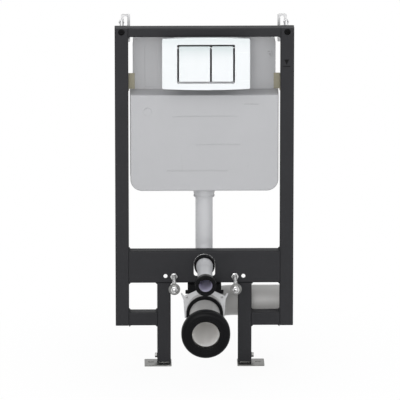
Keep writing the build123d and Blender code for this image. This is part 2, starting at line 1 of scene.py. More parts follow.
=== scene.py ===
import bpy
import bmesh
import json
import math
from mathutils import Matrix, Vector

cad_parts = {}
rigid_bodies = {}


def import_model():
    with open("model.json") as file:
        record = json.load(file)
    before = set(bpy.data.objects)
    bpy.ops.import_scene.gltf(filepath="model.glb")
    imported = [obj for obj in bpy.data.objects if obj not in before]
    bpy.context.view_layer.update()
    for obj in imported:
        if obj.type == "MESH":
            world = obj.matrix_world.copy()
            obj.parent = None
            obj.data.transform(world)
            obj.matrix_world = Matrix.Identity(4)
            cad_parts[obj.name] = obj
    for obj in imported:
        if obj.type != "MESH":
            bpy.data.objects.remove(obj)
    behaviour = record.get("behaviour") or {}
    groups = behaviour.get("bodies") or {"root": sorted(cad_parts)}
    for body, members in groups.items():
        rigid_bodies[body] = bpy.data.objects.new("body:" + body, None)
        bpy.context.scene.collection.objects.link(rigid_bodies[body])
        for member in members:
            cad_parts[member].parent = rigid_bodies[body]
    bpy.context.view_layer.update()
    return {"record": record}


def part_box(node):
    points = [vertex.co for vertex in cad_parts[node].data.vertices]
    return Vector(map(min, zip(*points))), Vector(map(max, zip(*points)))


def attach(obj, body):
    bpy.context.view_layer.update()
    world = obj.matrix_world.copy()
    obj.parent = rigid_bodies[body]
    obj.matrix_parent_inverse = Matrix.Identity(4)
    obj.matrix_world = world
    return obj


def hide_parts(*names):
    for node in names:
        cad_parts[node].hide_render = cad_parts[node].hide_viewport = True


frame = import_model()
right, back, up = Vector((1, 0, 0)), Vector((0, 1, 0)), Vector((0, 0, 1))
sides = {"left": -1, "right": 1}


def span(node):                      # a node's lowest and highest corners at rest
    low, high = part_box(node)
    return Vector(low), Vector(high)


def middle(node):
    low, high = span(node)
    return (low + high) / 2


midX = (middle("upright_left").x + middle("upright_right").x) / 2

# Camera: a long lens that looks down on the frame a little, with its uprights straight
photo = {
    "width": 400,                    # pixels across
    "focal": 5437.4,                 # focal length in pixels
    "distance": 16.0,
    "azimuth": -0.8,
    "elevation": 14.5,
    "aimOffset": -0.01303,           # aim from the frame's centre line
    "aimHeight": 0.50163,
    "sensor": 36.0,
}


def makeCamera(p):
    a = math.radians(p["azimuth"])
    e = math.radians(p["elevation"])
    away = Vector((math.sin(a) * math.cos(e), -math.cos(a) * math.cos(e), math.sin(e)))
    aim = Vector((midX + p["aimOffset"], 0, p["aimHeight"]))
    lens = bpy.data.cameras.new("studioLens")
    lens.sensor_width = p["sensor"]
    lens.sensor_fit = "HORIZONTAL"
    lens.lens = p["focal"] / p["width"] * p["sensor"]
    lens.clip_end = 100
    camera = bpy.data.objects.new("studioCamera", lens)
    camera.location = aim + away * p["distance"]
    camera.rotation_euler = away.to_track_quat("Z", "Y").to_euler()
    bpy.context.scene.collection.objects.link(camera)
    bpy.context.scene.camera = camera


makeCamera(photo)
print("camera placed")


# Shader maths on sockets
class Wire:
    def __init__(self, tree, socket):
        self.tree = tree
        self.socket = socket

    def maths(self, operation, first, second=0.0):
        node = self.tree.nodes.new("ShaderNodeMath")
        node.operation = operation
        for place, value in enumerate((first, second)):
            if isinstance(value, Wire):
                self.tree.links.new(value.socket, node.inputs[place])
            else:
                node.inputs[place].default_value = value
        return Wire(self.tree, node.outputs[0])

    def __add__(self, other):
        return self.maths("ADD", self, other)

    def __radd__(self, other):
        return self.maths("ADD", other, self)

    def __sub__(self, other):
        return self.maths("SUBTRACT", self, other)

    def __rsub__(self, other):
        return self.maths("SUBTRACT", other, self)

    def __mul__(self, other):
        return self.maths("MULTIPLY", self, other)

    def __truediv__(self, other):
        return self.maths("DIVIDE", self, other)

    def __pow__(self, other):
        return self.maths("POWER", self, other)

    def above(self, level):
        return self.maths("GREATER_THAN", self, level)

    def below(self, level):
        return self.maths("LESS_THAN", self, level)

    def atLeast(self, level):
        return self.maths("MAXIMUM", self, level)

    def atMost(self, level):
        return self.maths("MINIMUM", self, level)


class Finish:                        # one material with its Principled shader
    def __init__(self, name, constants):
        self.material = bpy.data.materials.new(name)
        self.material.use_nodes = True
        self.tree = self.material.node_tree
        self.shader = self.tree.nodes["Principled BSDF"]
        for socket, value in constants.items():
            self.shader.inputs[socket].default_value = value

    def node(self, kind, settings, inputs):
        made = self.tree.nodes.new(kind)
        for key, value in settings.items():
            if key == "stops":
                ramp = made.color_ramp.elements
                while len(ramp) < len(value):
                    ramp.new(0.5)
                for element, (place, shade) in zip(ramp, value):
                    element.position = place
                    element.color = (shade, shade, shade, 1)
            else:
                setattr(made, key, value)
        for key, value in inputs.items():
            if isinstance(value, Wire):
                self.tree.links.new(value.socket, made.inputs[key])
            else:
                made.inputs[key].default_value = value
        return {out.name: Wire(self.tree, out) for out in made.outputs}

    def place(self, stretch=(1, 1, 1)):              # coordinates that ride with the piece
        where = self.node("ShaderNodeTexCoord", {}, {})["Object"]
        return self.node("ShaderNodeMapping", {}, {"Vector": where, "Scale": stretch})["Vector"]

    def axes(self):                                  # the same, one number for each direction
        parts = self.node("ShaderNodeSeparateXYZ", {}, {"Vector": self.place()})
        return parts["X"], parts["Y"], parts["Z"]

    def noise(self, scale, detail=2.0, roughness=0.5, stretch=(1, 1, 1)):
        made = self.node("ShaderNodeTexNoise", {}, {
            "Vector": self.place(stretch), "Scale": scale, "Detail": detail, "Roughness": roughness,
        })
        return list(made.values())[0]

    def ramp(self, value, stops):
        return self.node("ShaderNodeValToRGB", {"stops": stops}, {"Fac": value})["Color"]

    def blend(self, factor, first, second):
        made = self.tree.nodes.new("ShaderNodeMix")
        made.data_type = "RGBA"
        for key, value in (("Factor", factor), ("A", first), ("B", second)):
            socket = [s for s in made.inputs if s.name == key and s.enabled][0]
            if isinstance(value, Wire):
                self.tree.links.new(value.socket, socket)
            else:
                socket.default_value = value if key == "Factor" else (*value, 1)
        return Wire(self.tree, [s for s in made.outputs if s.enabled][0])

    def bump(self, height, strength, distance, edge=0.0):
        inputs = {"Height": height, "Strength": strength, "Distance": distance}
        if edge:
            inputs["Normal"] = self.node("ShaderNodeBevel", {"samples": 4}, {"Radius": edge})["Normal"]
        return self.node("ShaderNodeBump", {}, inputs)["Normal"]

    def feed(self, **links):                         # Base_Color and the like
        for key, value in links.items():
            self.tree.links.new(value.socket, self.shader.inputs[key.replace("_", " ")])


def tint(colour, factor):
    return tuple(min(1.0, c * factor) for c in colour)


# Frame: anthracite powder coat with a fine orange peel
paint = {
    "colour": (0.0275, 0.0275, 0.0295),
    "specular": 0.08,
    "mottle": 9,                     # noise scales, here and below
    "mottleTones": (0.84, 1.18),     # darkest and palest share of the colour
    "mottleRough": 0.22,
    "peel": 900,
    "peelRough": 0.12,
    "peelDepth": 0.0004,
    "peelStrength": 0.22,
    "speck": 360,
    "speckAbove": 0.69,
    "speckShare": 0.5,
    "speckTone": 1.9,
    "rough": 0.55,
    "edge": 0.0012,
}


def framePaint(p):
    f = Finish("framePaint", {"Specular IOR Level": p["specular"]})
    mottle = f.noise(p["mottle"], 4, 0.6)
    peel = f.noise(p["peel"], 2, 0.5)
    speck = f.noise(p["speck"], 1, 0.4)
    darkest, palest = p["mottleTones"]
    tone = f.blend(mottle, tint(p["colour"], darkest), tint(p["colour"], palest))
    tone = f.blend(speck.above(p["speckAbove"]) * p["speckShare"], tone, tint(p["colour"], p["speckTone"]))
    rough = p["rough"] + (mottle - 0.5) * p["mottleRough"] + (peel - 0.5) * p["peelRough"]
    f.feed(Base_Color=tone, Roughness=rough,
           Normal=f.bump(peel, p["peelStrength"], p["peelDepth"], p["edge"]))
    return f.material


# Zinc plate: darker on feet and washers, pale on the wall fixings, bright on the studs, yellow on the clips,
# whose colour is also darkened as painted shade
zincs = {
    "zincPlate": {"light": (0.46, 0.46, 0.45), "dark": (0.20, 0.20, 0.20), "spangle": 120, "rough": 0.34},
    "brightZinc": {"light": (0.76, 0.76, 0.75), "dark": (0.30, 0.30, 0.31), "spangle": 300, "rough": 0.18},
    "paleZinc": {"light": (0.62, 0.62, 0.62), "dark": (0.46, 0.46, 0.47), "spangle": 90, "rough": 0.42},
    "washerZinc": {"light": (0.26, 0.26, 0.25), "dark": (0.13, 0.13, 0.13), "spangle": 200, "rough": 0.30},
    "footZinc": {"light": (0.30, 0.30, 0.29), "dark": (0.075, 0.075, 0.072), "spangle": 60, "rough": 0.30},
    # The clips' yellow zinc is darkened as painted shade, for the shade they sit in
    "yellowZincPaintedShade": {"light": (0.27, 0.255, 0.20), "dark": (0.17, 0.16, 0.12), "spangle": 120, "rough": 0.42},
}
zincSurface = {
    "cloud": 18,
    "cloudShare": 0.6,               # the rest of the tone comes from the spangle
    "cloudRough": 0.2,
    "facetRough": 0.12,
    "grain": 700,
    "grainStretch": (1, 0.12, 1),
    "grainStrength": 0.12,
    "grainDepth": 0.0003,
    "edge": 0.0006,
}


def zincPlate(name, p):
    f = Finish(name, {"Metallic": 1.0})
    q = zincSurface
    cloud = f.noise(q["cloud"], 5, 0.62)
    grain = f.noise(q["grain"], 2, 0.5, q["grainStretch"])
    cell = f.node("ShaderNodeTexVoronoi", {}, {"Vector": f.place(), "Scale": p["spangle"]})["Color"]
    facet = f.node("ShaderNodeSeparateColor", {}, {"Color": cell})["Red"]
    mask = cloud * q["cloudShare"] + facet * (1 - q["cloudShare"])
    f.feed(Base_Color=f.blend(mask, p["dark"], p["light"]),
           Roughness=p["rough"] + facet * q["facetRough"] + (cloud - 0.5) * q["cloudRough"],
           Normal=f.bump(grain, q["grainStrength"], q["grainDepth"], q["edge"]))
    return f.material


# Plain moulded plastics; the pipes' bores get a paler colour and a faint glow, painted light inside them
plastics = {
    "tankPlastic": {
        "colour": (0.40, 0.40, 0.408), "specular": 0.35, "rough": 0.52,
        "grain": 520, "depth": 0.0003, "cloud": 5,
    },
    "whitePlastic": {
        "colour": (0.50, 0.50, 0.51), "specular": 0.40, "rough": 0.40,
        "grain": 700, "depth": 0.0002, "cloud": 14,
    },
    "wastePlastic": {
        "colour": (0.44, 0.432, 0.42), "specular": 0.35, "rough": 0.42,
        "grain": 420, "depth": 0.0002, "cloud": 12,
    },
    "bracketPlastic": {
        "colour": (0.56, 0.56, 0.565), "specular": 0.35, "rough": 0.50,
        "grain": 600, "depth": 0.0003, "cloud": 20,
    },
    "blackPlastic": {
        "colour": (0.004, 0.004, 0.0045), "specular": 0.08, "rough": 0.45,
        "grain": 800, "depth": 0.0002, "cloud": 30,
    },
}
plasticSurface = {
    "cloudTones": (0.95, 1.05),      # darkest and palest share of the colour
    "cloudRough": 0.12,
    "grainRough": 0.1,
    "grainStrength": 0.25,
    "scuff": 60,
    "scuffStretch": (1, 1, 0.15),
    "scuffAbove": 0.64,
    "scuffShare": 0.25,
    "scuffTone": 0.9,
    "edge": 0.0008,
}


def mouldedPlastic(name, p, bore=None):
    f = Finish(name, {"Specular IOR Level": p["specular"]})
    q = plasticSurface
    cloud = f.noise(p["cloud"], 5, 0.6)
    grain = f.noise(p["grain"], 2, 0.6)
    scuff = f.noise(q["scuff"], 6, 0.7, q["scuffStretch"])
    darkest, palest = q["cloudTones"]
    tone = f.blend(cloud, tint(p["colour"], darkest), tint(p["colour"], palest))
    tone = f.blend(scuff.above(q["scuffAbove"]) * q["scuffShare"], tone, tint(p["colour"], q["scuffTone"]))
    if bore:                         # painted light: a paler colour and a faint glow inside the bore
        within = insideBore(f, bore)
        tone = f.blend(within, tone, bore["colour"])
        # Painted light: the bore glows faintly, though nothing in it is a lamp
        f.shader.inputs["Emission Strength"].default_value = 1.0
        f.feed(Emission_Color=f.blend(within, (0, 0, 0), tint(bore["colour"], bore["glow"])))
    rough = p["rough"] + (cloud - 0.5) * q["cloudRough"] + (grain - 0.5) * q["grainRough"]
    f.feed(Base_Color=tone, Roughness=rough,
           Normal=f.bump(grain, q["grainStrength"], p["depth"], q["edge"]))
    return f.material


def insideBore(f, p):                # 1 in the bore of a pipe along Y, also past a bend to the right: where the painted light goes
    x, y, z = f.axes()
    across = x - (midX + p["bend"])
    deep = y.atLeast(0) if p["bend"] else y * 0
    level = (across * across + deep * deep) ** 0.5 - p["bend"]
    aside = z - p["height"]
    within = ((level * level + aside * aside) ** 0.5).below(p["radius"])
    return within * across.below(p["reach"]) * y.below(p["deepest"])


wasteAxis = middle("waste_connector")
flushAxis = middle("flush_connector")
wasteRadius = span("waste_connector")[1].x - wasteAxis.x
wasteBore = {
    "height": wasteAxis.z,
    "radius": wasteRadius * 0.967,   # within the wall
    "bend": span("waste_bend")[1].y - wasteRadius,
    "reach": 0.0,                    # how far to the right of the bend's centre
    "deepest": 1.0,                  # all the way to the back
    # Painted light: a paler colour and a faint glow inside the waste bore
    "colour": (0.90, 0.89, 0.875),
    "glow": 0.036,
}
flushBore = {
    "height": flushAxis.z,
    "radius": 0.0212,                # between the spigot's inside and outside
    "bend": 0.0,
    "reach": 1.0,
    "deepest": 0.055,                # short of the back of the elbow
    # Painted light: a paler colour inside the flush bore
    "colour": (0.72, 0.70, 0.82),
    "glow": 0.0,
}

# Flush plate: satin plastic under a clear, slightly soft gloss, with painted shade that darkens it towards
# its top
plateLook = {
    "colour": (0.73, 0.75, 0.755),
    # deep: colour of the painted shade at the top of the plate and the buttons
    "deep": (0.50, 0.56, 0.56),
    "rough": 0.26,
    "coat": 0.5,
    "coatRough": 0.14,
    "specular": 0.5,
    "cloud": 11,
    "cloudTones": (0.98, 1.02),      # darkest and palest share of the colour
    "brush": 260,
    "brushStretch": (0.04, 1, 1),
    "brushRough": 0.1,
    "brushStrength": 0.05,
    "brushDepth": 0.0002,
    "edge": 0.0008,
}
plateTop = span("flush_plate")[1].z
buttonTop = span("button_large")[1].z
# Heights over which the painted shade fades in at the top of the plate and of the buttons
plateTopPaintedShade = {"from": plateTop - 0.050, "to": plateTop + 0.010, "share": 0.70}      # heights of the fade
buttonTopPaintedShade = {"from": buttonTop - 0.055, "to": buttonTop + 0.002, "share": 1.0}


def satinPlate(name, p, shade):
    f = Finish(name, {
        "Specular IOR Level": p["specular"], "Coat Weight": p["coat"], "Coat Roughness": p["coatRough"],
    })
    cloud = f.noise(p["cloud"], 3, 0.5)
    brush = f.noise(p["brush"], 3, 0.6, p["brushStretch"])
    # Painted shade: near the top the colour turns towards the deep one
    height = ((f.axes()[2] - shade["from"]) / (shade["to"] - shade["from"])).atLeast(0.0).atMost(1.0)
    darkest, palest = p["cloudTones"]
    tone = f.blend(cloud, tint(p["colour"], darkest), tint(p["colour"], palest))
    f.feed(Base_Color=f.blend(height * height * shade["share"], tone, p["deep"]),
           Roughness=p["rough"] + (brush - 0.5) * p["brushRough"],
           Normal=f.bump(brush, p["brushStrength"], p["brushDepth"], p["edge"]))
    return f.material


# Rubber seals
rubber = {
    "colour": (0.0035, 0.0035, 0.004),
    "specular": 0.07,
    "rough": 0.34,
    "dust": (0.010, 0.010, 0.011),
    "dustStops": [(0.45, 0.0), (0.85, 0.35)],
    "dustRough": 0.3,
    "grainRough": 0.1,
    "grainStrength": 0.2,
    "grainDepth": 0.0003,
}


def sealRubber(p):
    f = Finish("sealRubber", {"Specular IOR Level": p["specular"]})
    dust = f.noise(26, 6, 0.7)
    grain = f.noise(900, 2, 0.6)
    tone = f.blend(f.ramp(dust, p["dustStops"]), p["colour"], p["dust"])
    rough = p["rough"] + (dust - 0.5) * p["dustRough"] + (grain - 0.5) * p["grainRough"]
    f.feed(Base_Color=tone, Roughness=rough, Normal=f.bump(grain, p["grainStrength"], p["grainDepth"]))
    return f.material


finishes = {
    "frame_paint": framePaint(paint),
    "zinc": zincPlate("zincPlate", zincs["zincPlate"]),
    "yellow_zinc": zincPlate("yellowZincPaintedShade", zincs["yellowZincPaintedShade"]),
    "pin_steel": zincPlate("pinSteel", zincs["brightZinc"]),
    "tank_plastic": mouldedPlastic("tankPlastic", plastics["tankPlastic"]),
    "white_plastic": mouldedPlastic("whitePlastic", plastics["whitePlastic"], flushBore),
    "waste_plastic": mouldedPlastic("wastePlastic", plastics["wastePlastic"], wasteBore),
    "bracket_plastic": mouldedPlastic("bracketPlastic", plastics["bracketPlastic"]),
    "black_plastic": mouldedPlastic("blackPlastic", plastics["blackPlastic"]),
    "plate_plastic": satinPlate("satinPlate", plateLook, plateTopPaintedShade),
    "black_rubber": sealRubber(rubber),
}
paleSteel = zincPlate("paleZinc", zincs["paleZinc"])
washerSteel = zincPlate("washerZinc", zincs["washerZinc"])
footSteel = zincPlate("footZinc", zincs["footZinc"])
ownFinish = {
    "wall_plate_left": paleSteel, "wall_plate_right": paleSteel,
    "pan_washer_left": washerSteel, "pan_washer_right": washerSteel,
    "foot_left": footSteel, "foot_right": footSteel,
    "button_large": satinPlate("satinButton", plateLook, buttonTopPaintedShade),
    "button_small": satinPlate("satinSmallButton", plateLook, buttonTopPaintedShade),
}
for entry in frame["record"]["subparts"]:
    piece = bpy.data.objects[entry["node"]]
    piece.data.materials.clear()
    piece.data.materials.append(ownFinish.get(entry["node"], finishes[entry["material_slot"]]))


# Meshes: rows of points joined into one skin, and the object that carries them
def skinFaces(rows, columns, closed, capped):
    faces = []
    for r in range(rows if closed else rows - 1):
        for c in range(columns):
            ahead, beside = (r + 1) % rows * columns, (c + 1) % columns
            faces.append((r * columns + c, r * columns + beside, ahead + beside, ahead + c))
    if capped:
        faces += [tuple(range(columns)), tuple(range((rows - 1) * columns, rows * columns))]
    return faces


def addPiece(name, rows, closed, capped, ride, sharp=40):
    points = [point for row in rows for point in row]
    centre = sum(points, Vector()) / len(points)
    mesh = bpy.data.meshes.new(name)
    mesh.from_pydata([p - centre for p in points], [], skinFaces(len(rows), len(rows[0]), closed, capped))
    work = bmesh.new()
    work.from_mesh(mesh)
    bmesh.ops.recalc_face_normals(work, faces=work.faces)
    work.to_mesh(mesh)
    work.free()
    mesh.shade_smooth()
    mesh.set_sharp_from_angle(angle=math.radians(sharp))
    mesh.materials.append(ride.get("material") or finishes[ride["slot"]])
    piece = bpy.data.objects.new(name, mesh)
    piece.location = centre
    bpy.context.scene.collection.objects.link(piece)
    if "stands" in ride:
        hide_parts(*ride["stands"])
    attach(piece, ride["body"])
    return piece


def square(axis):                    # two directions square to an axis, the first level where it can be
    side = up.cross(axis) if abs(axis.z) < 0.9 else right
    side = side.normalized()
    return side, axis.cross(side)


def ring(centre, axis, radius, segments):
    u, v = square(axis)
    row = []
    for k in range(segments):
        angle = 2 * math.pi * k / segments
        reach = radius(angle) if callable(radius) else radius
        row.append(centre + (u * math.cos(angle) + v * math.sin(angle)) * reach)
    return row


def turned(name, start, axis, profile, ride, segments=48, closed=True):
    rows = [ring(start + axis * along, axis, radius, segments) for along, radius in profile]
    return addPiece(name, rows, closed, not closed, ride)


# Threaded rods, chamfered nuts and bolt heads
thread = {"depth": 0.62, "stepsPerTurn": 6, "segments": 20, "chamfer": 0.0012}


def threadedRod(name, start, axis, length, radius, pitch, ride):
    p = thread
    count = int(length / pitch * p["stepsPerTurn"])
    rows = []
    for i in range(count + 1):
        along = length * i / count
        ends = radius - p["chamfer"] + min(along, length - along)

        def reach(angle):
            turn = (along / pitch + angle / (2 * math.pi)) % 1
            return min(ends, radius - p["depth"] * pitch * (1 - abs(2 * turn - 1)))

        rows.append(ring(start + axis * along, axis, reach, p["segments"]))
    return addPiece(name, rows, False, True, ride, 70)


nutForm = {"segments": 48, "crown": 0.95, "slope": 0.5774, "chamfer": 0.0006}


def flatsReach(half):                # from the axis to a hexagon's edge
    return lambda angle: half / math.cos(angle % (math.pi / 3) - math.pi / 6)


def hexNut(name, start, axis, depth, half, bore, ride):
    p = nutForm
    chamfer = p["chamfer"]
    crown = half * p["crown"]
    edge = flatsReach(half)
    u, v = square(axis)
    plan = [                         # radius or the hexagon's edge, place along the axis, way that it slopes
        (bore, chamfer, 0), (bore, depth - chamfer, 0), (bore + chamfer, depth, 0), (crown, depth, 0),
        (None, depth, -1), (None, 0, 1), (crown, 0, 0), (bore + chamfer, 0, 0),
    ]
    rows = []
    for radius, along, fall in plan:
        row = []
        for k in range(p["segments"]):
            angle = 2 * math.pi * k / p["segments"]
            reach = edge(angle) if radius is None else radius
            drop = (reach - crown) * p["slope"] * fall
            row.append(start + axis * (along + drop) + (u * math.cos(angle) + v * math.sin(angle)) * reach)
        rows.append(row)
    return addPiece(name, rows, True, False, ride)


washerBevel = 0.25                   # share of the washer's thickness


def washerRing(name, start, axis, depth, radius, bore, ride):
    bevel = depth * washerBevel
    profile = [(0, bore), (depth, bore), (depth, radius - bevel), (depth - bevel, radius),
               (bevel, radius), (0, radius - bevel)]
    return turned(name, start, axis, profile, ride)


studForm = {"pitch": 0.00175, "half": 0.0095, "radius": 0.006, "barSheet": 0.003}
brightSteel = zincPlate("brightZinc", zincs["brightZinc"])


def makePanStuds(p):
    for side in sides:
        rod = span(f"stud_{side}")
        centre = middle(f"stud_{side}")
        radius = p["radius"]
        bright = {"body": "frame", "slot": "zinc", "material": brightSteel}
        start = Vector((centre.x, rod[0].y, centre.z))
        threadedRod(f"studThread_{side}", start, back, rod[1].y - rod[0].y, radius, p["pitch"],
                    {**bright, "stands": [f"stud_{side}"]})
        for label, node in (("crossbarNut", f"stud_nut_{side}"), ("panNut", f"pan_nut_{side}")):
            low, high = span(node)
            face = Vector((centre.x, low.y, centre.z))
            hexNut(f"{label}_{side}", face, back, high.y - low.y, p["half"], radius,
                   {**bright, "stands": [node]})
        low, high = span(f"stud_nut_{side}")
        face = Vector((centre.x, p["barSheet"], centre.z))
        hexNut(f"backNut_{side}", face, back, high.y - low.y, p["half"], radius, bright)


rodForm = {"pitch": 0.0015, "half": 0.0074, "radius": 0.005, "nut": 0.008}


def makeWallRods(p):
    for side in sides:
        low, high = span(f"wall_rod_{side}")
        centre = middle(f"wall_rod_{side}")
        tubeBack = span(f"upright_{side}")[1].y
        steel = {"body": "frame", "slot": "zinc", "material": paleSteel}
        start = Vector((centre.x, low.y, centre.z))
        threadedRod(f"wallThread_{side}", start, back, high.y - low.y, p["radius"], p["pitch"],
                    {**steel, "stands": [f"wall_rod_{side}"]})
        for label, at in (("lockNut", tubeBack), ("plateNut", high.y - p["nut"])):
            face = Vector((centre.x, at, centre.z))
            hexNut(f"{label}_{side}", face, back, p["nut"], p["half"], p["radius"], steel)


clampForm = {
    "half": 0.0062, "washer": 0.0012, "washerR": 0.0078, "boltR": 0.004, "tipDeep": 0.0006, "tipShare": 0.8,
    "inHead": 0.0004,
}


def makeClampBolts(p):
    for side, sign in sides.items():
        low, high = span(f"clamp_bolt_{side}")
        centre = middle(f"clamp_bolt_{side}")
        legFace = span(f"leg_{side}")[1 if sign > 0 else 0].x
        tip = low.x if sign > 0 else high.x
        head = abs((high.x if sign > 0 else low.x) - legFace)
        axis = right * sign
        steel = {"body": "frame", "slot": "zinc"}
        face = Vector((legFace, centre.y, centre.z))
        washerRing(f"clampWasher_{side}", face, axis, p["washer"], p["washerR"], p["boltR"], steel)
        seat = face + axis * p["washer"]
        hexNut(f"clampHead_{side}", seat, axis, head - p["washer"], p["half"], p["boltR"],
               {**steel, "stands": [f"clamp_bolt_{side}"]})
        end = abs(legFace - tip) + head - p["inHead"]
        shank = [(0, p["boltR"]), (end - p["tipDeep"], p["boltR"]), (end, p["boltR"] * p["tipShare"])]
        turned(f"clampShank_{side}", Vector((tip, centre.y, centre.z)), axis, shank, steel, 32, False)


makePanStuds(studForm)
makeWallRods(rodForm)
makeClampBolts(clampForm)
print("studs, rods and bolts threaded")


# Weld beads in the inner corners of the frame
bead = {
    "leg": 0.0042, "bulge": 0.25, "ripple": 0.0028, "rippleDepth": 0.09, "step": 0.0006, "arc": 7,
    "margin": 0.0015, "endShare": 0.25,
}


def weldBead(name, start, end, sideA, sideB, p):
    run = end - start
    count = max(4, int(run.length / p["step"]))
    rows = []
    for i in range(count + 1):
        share = i / count
        wave = 1 + p["rippleDepth"] * math.sin(2 * math.pi * run.length * share / p["ripple"])
        taper = min(1.0, p["endShare"] + min(share, 1 - share) * run.length / p["leg"])
        corner = start + run * share
        row = [corner]
        for k in range(p["arc"]):
            s = k / (p["arc"] - 1)
            flat = sideA * (1 - s) + sideB * s
            swell = 1 + p["bulge"] * math.sin(math.pi * s)
            row.append(corner + flat * p["leg"] * swell * wave * taper)
        rows.append(row)
    return addPiece(name, rows, False, True, {"body": "frame", "slot": "frame_paint"}, 80)


def makeWelds(p):
    depth = span("leg_left")[1].y - span("leg_left")[0].y
    front, rear = back * p["margin"], back * (depth - p["margin"])
    bar = span("crossbar")
    top = span("top_rail")
    for side, sign in sides.items():
        out, inn = right * sign, right * -sign
        legLow, legHigh = span(f"leg_{side}")
        legOut = legHigh.x if sign > 0 else legLow.x
        legIn = legLow.x if sign > 0 else legHigh.x
        uprightIn = span(f"upright_{side}")[0 if sign > 0 else 1].x
        rail = span(f"lower_rail_{side}")
        corners = [
            ("legRailTop", legOut, rail[1].z, out, up),
            ("legRailLow", legOut, rail[0].z, out, -up),
            ("uprightRailTop", uprightIn, rail[1].z, inn, up),
            ("uprightRailLow", uprightIn, rail[0].z, inn, -up),
            ("legBarOut", legOut, bar[0].z, out, -up),
            ("legBarIn", legIn, bar[0].z, inn, -up),
            ("uprightBarTop", uprightIn, bar[1].z, inn, up),
            ("uprightBarLow", uprightIn, bar[0].z, inn, -up),
            ("uprightTop", uprightIn, top[0].z, inn, -up),
        ]
        for label, x, z, sideA, sideB in corners:
            corner = Vector((x, 0, z))
            weldBead(f"{label}_{side}", corner + front, corner + rear, sideA, sideB, p)


makeWelds(bead)
print("welds laid")


# Cistern: the parting seam left round its sides by the mould
seam = {
    "depth": 0.0007, "half": 0.0006, "flat": 0.4, "arc": 10,
    "lowR": 0.0345, "topR": 0.024, "step": 0.0085, "stepZ": 0.826,
}


def roundCorner(centre, radius, start, count):       # a quarter turn of points from an angle
    return [(centre[0] + radius * math.cos(start + math.pi / 2 * k / count),
             centre[1] + radius * math.sin(start + math.pi / 2 * k / count)) for k in range(count + 1)]


def makeTankSeam(p):
    low, high = span("cistern_tank")
    y = middle("cistern_tank").y
    inset, topZ = p["step"] + p["topR"], high.z - p["topR"]
    outline = roundCorner((high.x - inset, topZ), p["topR"], 0, p["arc"])
    outline += roundCorner((low.x + inset, topZ), p["topR"], math.pi / 2, p["arc"])
    outline += [(low.x + p["step"], p["stepZ"]), (low.x, p["stepZ"])]
    outline += roundCorner((low.x + p["lowR"], low.z + p["lowR"]), p["lowR"], math.pi, p["arc"])
    outline += roundCorner((high.x - p["lowR"], low.z + p["lowR"]), p["lowR"], math.pi * 1.5, p["arc"])
    outline += [(high.x, p["stepZ"]), (high.x - p["step"], p["stepZ"])]
    count = len(outline)
    rows = []
    for i, (x, z) in enumerate(outline):
        before, after = outline[i - 1], outline[(i + 1) % count]
        along = Vector((after[0] - before[0], 0, after[1] - before[1])).normalized()
        out = Vector((along.z, 0, -along.x))
        point = Vector((x, y, z))
        foot, ridge = back * p["half"], back * p["half"] * p["flat"]
        rows.append([point - foot - out * p["half"], point - ridge + out * p["depth"],
                     point + ridge + out * p["depth"], point + foot - out * p["half"]])
    addPiece("tankSeam", rows, True, False, {"body": "frame", "slot": "tank_plastic"}, 30)


makeTankSeam(seam)

# Fine lips moulded on the seals' faces
lips = {
    "waste_seal": {"radii": (0.047, 0.0535), "bead": 0.0007, "proud": 0.3, "arc": 8, "segments": 96},
    "flush_seal": {"radii": (0.0245,), "bead": 0.0005, "proud": 0.3, "arc": 8, "segments": 96},
}


def makeSealLips(table):
    for node, p in table.items():
        low = span(node)[0]
        centre = middle(node)
        for number, radius in enumerate(p["radii"]):
            profile = [(p["bead"] * (p["proud"] - math.cos(a)), radius + p["bead"] * math.sin(a))
                       for a in (math.pi * 2 * k / p["arc"] for k in range(p["arc"]))]
            turned(f"{node}_lip{number}", Vector((centre.x, low.y, centre.z)), back, profile,
                   {"body": "frame", "slot": "black_rubber"}, p["segments"])


makeSealLips(lips)

# Screws that hold the bracket to the hanger
screw = {
    "radius": 0.0027, "head": 0.0016, "rim": 0.6, "crown": 0.7, "socket": 0.0013, "socketDepth": 0.0010,
    "across": 0.105, "aboveAxis": 0.042,
}


def makeBracketScrews(p):
    front = span("bend_bracket")[0].y
    for side, sign in sides.items():
        start = Vector((wasteAxis.x + sign * p["across"] / 2, front, wasteAxis.z + p["aboveAxis"]))
        profile = [(0, p["radius"]), (p["head"] * p["rim"], p["radius"]),
                   (p["head"], p["radius"] * p["crown"]), (p["head"], p["socket"]),
                   (p["head"] - p["socketDepth"], p["socket"])]
        turned(f"bracketScrew_{side}", start, -back, profile, {"body": "frame", "slot": "zinc"}, 24, False)


makeBracketScrews(screw)

# Flush joint in the arch: a rubber sleeve in front of the clip and the connector's collar inside it
sleeve = {
    "outer": 0.0306, "inner": 0.0247, "front": -0.0185, "back": 0.0005, "round": 0.0012, "gap": 0.0001,
    "step": -0.016, "segments": 72,
}
collar = {
    "radius": 0.0245, "length": 0.014, "cone": 0.040, "start": -0.0165, "wall": 0.0005, "bevel": 0.002,
    "bevelIn": 0.0006, "segments": 72,
}


def makeFlushJoint(p, c):
    start = Vector((flushAxis.x, 0, flushAxis.z))
    pipe = span("flush_pipe")
    around = (pipe[1].x - pipe[0].x) / 2 + p["gap"]
    spigot = (span("flush_connector")[1].x - span("flush_connector")[0].x) / 2
    profile = [(p["front"], p["inner"]), (p["front"], p["outer"] - p["round"]),
               (p["front"] + p["round"], p["outer"]), (p["back"], p["outer"]),
               (p["back"], around), (p["step"], around), (p["step"], p["inner"])]
    turned("flushSleeve", start, back, profile, {"body": "frame", "slot": "black_rubber"}, p["segments"])
    end = c["start"] - c["length"]
    tail = end - c["cone"]
    profile = [(c["start"], spigot), (c["start"], c["radius"]), (end, c["radius"]),
               (end - c["bevel"], c["radius"] - c["bevelIn"]), (tail, spigot + c["wall"]), (tail, spigot)]
    turned("flushCollar", start, back, profile, {"body": "frame", "slot": "white_plastic"}, c["segments"])


